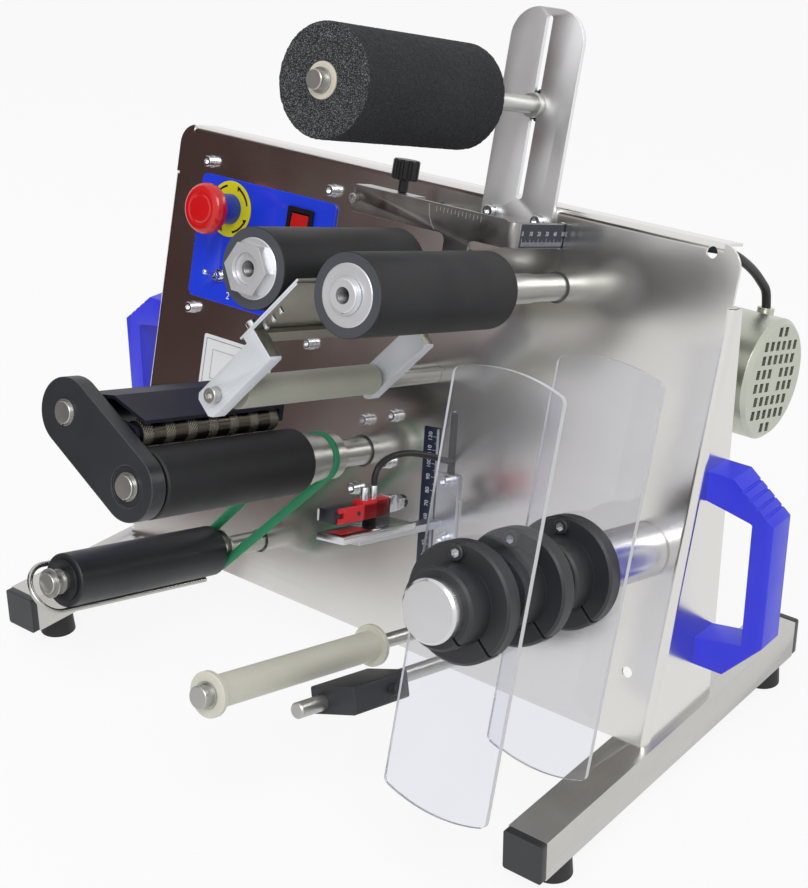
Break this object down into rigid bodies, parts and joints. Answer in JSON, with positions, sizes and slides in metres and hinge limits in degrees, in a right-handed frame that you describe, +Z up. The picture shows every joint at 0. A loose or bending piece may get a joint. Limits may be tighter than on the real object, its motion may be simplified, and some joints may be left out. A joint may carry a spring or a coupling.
{
  "type": "semi-automatic labeling machine",
  "caption": "Bench labeling machine: leaning panel on two foot bars with driven bottle rollers, press roller, peel plate, traction and rewind rollers and a label spindle.",
  "frame": {"origin": "on the surface that it stands on, under the middle of its bounding box", "axes": "+X to the right and +Y to the back of someone who stands in front of it, +Z up"},
  "size_m": [0.61, 0.4547, 0.5367],
  "materials": {
    "panel_steel": "horizontal brushed stainless sheet",
    "bar_steel": "brushed stainless square tube",
    "black_plastic": "moulded plastic end cap",
    "black_rubber": "matte rubber",
    "blue_plastic": "satin moulded plastic",
    "screw_steel": "bright stainless screws",
    "bright_steel": "ground stainless plate",
    "turned_steel": "turned steel with fine rings",
    "knob_black": "ridged moulded knob",
    "foam": "open cell foam",
    "white_bush": "natural nylon",
    "control_blue": "gloss printed film on a plate",
    "switch_parts": "switch housings",
    "stop_red": "gloss red cap",
    "key_red": "translucent red key",
    "lever_chrome": "chromed lever",
    "box_grey": "folded sheet box",
    "inlet_black": "moulded appliance inlet",
    "cast_grey": "machined bearing blocks",
    "belt_black": "toothed rubber belt",
    "gearbox_grey": "painted cast housing",
    "motor_silver": "silver green lacquer",
    "lead_black": "cable jacket",
    "arm_aluminium": "satin milled bars",
    "peel_steel": "thin steel plate",
    "roller_plastic": "grey green plastic tube",
    "guide_plastic": "ivory plastic roller",
    "dark_casting": "blue black anodised plate",
    "cover_dark": "dark coated bent cover",
    "nip_steel": "dark knurled steel",
    "roller_rubber": "ground rubber sleeve",
    "rewind_skin": "ground rubber sleeve",
    "wire_steel": "bent spring wire",
    "belt_green": "rough green polyurethane cord",
    "spindle_steel": "turned aluminium tube",
    "collar_black": "machined black plastic",
    "clear_acrylic": "clear acrylic with polished edges",
    "block_black": "black anodised block",
    "ruler_navy": "printed scale",
    "sensor_red": "red and black sensor body"
  },
  "bodies": {
    "frame": {"front_panel": "panel_steel", "foot_bar_left": "bar_steel", "foot_bar_right": "bar_steel", "bar_end_caps": "black_plastic", "rubber_feet": "black_rubber", "handle_left": "blue_plastic", "handle_right": "blue_plastic", "panel_screws": "screw_steel", "upright_plate": "bright_steel", "control_plate": "control_blue", "switch_bodies": "switch_parts", "electrical_box": "box_grey", "power_inlet": "inlet_black", "bearing_housings": "cast_grey", "timing_belts": "belt_black", "worm_gearbox": "gearbox_grey", "gear_motor": "motor_silver", "motor_lead": "lead_black", "peel_post": "turned_steel", "support_shaft": "turned_steel", "link_plate": "dark_casting", "round_belt": "belt_green", "guide_shaft": "turned_steel", "block_rod": "turned_steel", "depth_ruler": "ruler_navy", "sensor_lead": "lead_black"},
    "press_slide": {"press_shaft": "turned_steel"},
    "press_knob": {"press_knob": "knob_black"},
    "press_roller": {"foam_roller": "foam", "foam_bushes": "white_bush"},
    "position_plate": {"positioning_plate": "bright_steel", "positioning_rod": "turned_steel"},
    "thumb_knob": {"thumb_knob": "knob_black"},
    "right_roller": {"right_roller_shaft": "turned_steel", "right_roller_core": "turned_steel", "right_roller_rubber": "roller_rubber"},
    "left_roller": {"left_roller_shaft": "turned_steel", "left_roller_core": "turned_steel", "left_roller_rubber": "roller_rubber"},
    "traction": {"traction_shaft": "turned_steel", "traction_rubber": "roller_rubber"},
    "nip_arm": {"nip_arm": "cover_dark"},
    "nip_roller": {"nip_roller": "nip_steel"},
    "rewinder": {"rewind_shaft": "turned_steel", "rewind_rubber": "rewind_skin"},
    "wire_clip": {"wire_clip": "wire_steel"},
    "peel_bracket": {"peel_arms": "arm_aluminium", "peel_plate": "peel_steel"},
    "peel_roller": {"peel_roller": "roller_plastic"},
    "label_spindle": {"spindle_shaft": "spindle_steel"},
    "front_disc": {"front_collar": "collar_black", "front_side_plate": "clear_acrylic"},
    "middle_disc": {"middle_collar": "collar_black"},
    "rear_disc": {"rear_collar": "collar_black", "rear_side_plate": "clear_acrylic"},
    "guide_roller": {"guide_roller": "guide_plastic"},
    "clamp_block": {"clamp_block": "block_black"},
    "sensor_carrier": {"sensor_bracket": "bright_steel", "label_sensor": "sensor_red"},
    "estop_button": {"estop_button": "stop_red"},
    "rocker_key": {"rocker_key": "key_red"},
    "toggle_lever": {"toggle_lever": "lever_chrome"}
  },
  "joints": [
    {"name": "press_height", "type": "slide", "parent": "frame", "child": "press_slide", "axis": [0, 0.2588, 0.9659], "range_m": [-0.048, 0.055]},
    {"name": "press_roller_spin", "type": "hinge", "parent": "press_slide", "child": "press_roller", "pos_m": [0.079, -0.04136, 0.48592], "axis": [0, -0.9659, 0.2588], "continuous": true},
    {"name": "press_knob_turn", "type": "hinge", "parent": "press_slide", "child": "press_knob", "pos_m": [0.079, 0.12091, 0.44244], "axis": [0, -0.9659, 0.2588], "continuous": true},
    {"name": "position_plate_slide", "type": "slide", "parent": "frame", "child": "position_plate", "axis": [0, -0.9659, 0.2588], "range_m": [-0.038, 0]},
    {"name": "thumb_knob_turn", "type": "hinge", "parent": "position_plate", "child": "thumb_knob", "pos_m": [0.013, 0.0489, 0.39393], "axis": [0, 0.2588, 0.9659], "continuous": true},
    {"name": "right_roller_spin", "type": "hinge", "parent": "frame", "child": "right_roller", "pos_m": [0.1195, 0.08264, 0.33053], "axis": [0, -0.9659, 0.2588], "continuous": true},
    {"name": "left_roller_spin", "type": "hinge", "parent": "frame", "child": "left_roller", "pos_m": [0.0445, 0.08264, 0.33053], "axis": [0, -0.9659, 0.2588], "continuous": true},
    {"name": "traction_spin", "type": "hinge", "parent": "frame", "child": "traction", "pos_m": [-0.0235, 0.04201, 0.17888], "axis": [0, -0.9659, 0.2588], "continuous": true},
    {"name": "nip_arm_lift", "type": "hinge", "parent": "frame", "child": "nip_arm", "pos_m": [-0.0875, -0.104, 0.25217], "axis": [0, -0.9659, 0.2588], "range_deg": [0, 25]},
    {"name": "nip_roller_spin", "type": "hinge", "parent": "nip_arm", "child": "nip_roller", "pos_m": [-0.0391, -0.10488, 0.24888], "axis": [0, -0.9659, 0.2588], "continuous": true},
    {"name": "rewinder_spin", "type": "hinge", "parent": "frame", "child": "rewinder", "pos_m": [-0.1105, 0.01639, 0.08326], "axis": [0, -0.9659, 0.2588], "continuous": true},
    {"name": "wire_clip_pull", "type": "slide", "parent": "rewinder", "child": "wire_clip", "axis": [0, -0.9659, 0.2588], "range_m": [0, 0.14]},
    {"name": "peel_plate_tilt", "type": "hinge", "parent": "frame", "child": "peel_bracket", "pos_m": [0.0295, 0.06116, 0.25036], "axis": [0, -0.9659, 0.2588], "range_deg": [-8, 0]},
    {"name": "peel_roller_spin", "type": "hinge", "parent": "frame", "child": "peel_roller", "pos_m": [0.0295, -0.08373, 0.28918], "axis": [0, -0.9659, 0.2588], "continuous": true},
    {"name": "spindle_spin", "type": "hinge", "parent": "frame", "child": "label_spindle", "pos_m": [0.224, 0.04188, 0.1784], "axis": [0, -0.9659, 0.2588], "continuous": true},
    {"name": "front_disc_slide", "type": "slide", "parent": "label_spindle", "child": "front_disc", "axis": [0, -0.9659, 0.2588], "range_m": [-0.02, 0.046]},
    {"name": "middle_disc_slide", "type": "slide", "parent": "label_spindle", "child": "middle_disc", "axis": [0, -0.9659, 0.2588], "range_m": [-0.021, 0.021]},
    {"name": "rear_disc_slide", "type": "slide", "parent": "label_spindle", "child": "rear_disc", "axis": [0, -0.9659, 0.2588], "range_m": [-0.08, 0.021]},
    {"name": "guide_roller_spin", "type": "hinge", "parent": "frame", "child": "guide_roller", "pos_m": [0.0647, -0.132, 0.10904], "axis": [0, -0.9659, 0.2588], "continuous": true},
    {"name": "clamp_block_slide", "type": "slide", "parent": "frame", "child": "clamp_block", "axis": [0, -0.9659, 0.2588], "range_m": [-0.095, 0.02]},
    {"name": "sensor_slide", "type": "slide", "parent": "frame", "child": "sensor_carrier", "axis": [-0.1219, 0.2569, 0.9587], "range_m": [-0.035, 0.015], "deforming": ["sensor_lead"]},
    {"name": "estop_push", "type": "slide", "parent": "frame", "child": "estop_button", "axis": [0, 0.9659, -0.2588], "range_m": [0, 0.004]},
    {"name": "rocker_tilt", "type": "hinge", "parent": "frame", "child": "rocker_key", "pos_m": [-0.1145, 0.08232, 0.32544], "axis": [1, 0, 0], "range_deg": [0, 12]},
    {"name": "toggle_tilt", "type": "hinge", "parent": "frame", "child": "toggle_lever", "pos_m": [-0.1885, 0.061, 0.2768], "axis": [1, 0, 0], "range_deg": [0, 28]}
  ],
  "couplings": [
    {"joint": "left_roller_spin", "follows": "right_roller_spin", "ratio": 1},
    {"joint": "traction_spin", "follows": "right_roller_spin", "ratio": 1},
    {"joint": "nip_roller_spin", "follows": "right_roller_spin", "ratio": -2.5319},
    {"joint": "rewinder_spin", "follows": "right_roller_spin", "ratio": 1.1852}
  ]
}
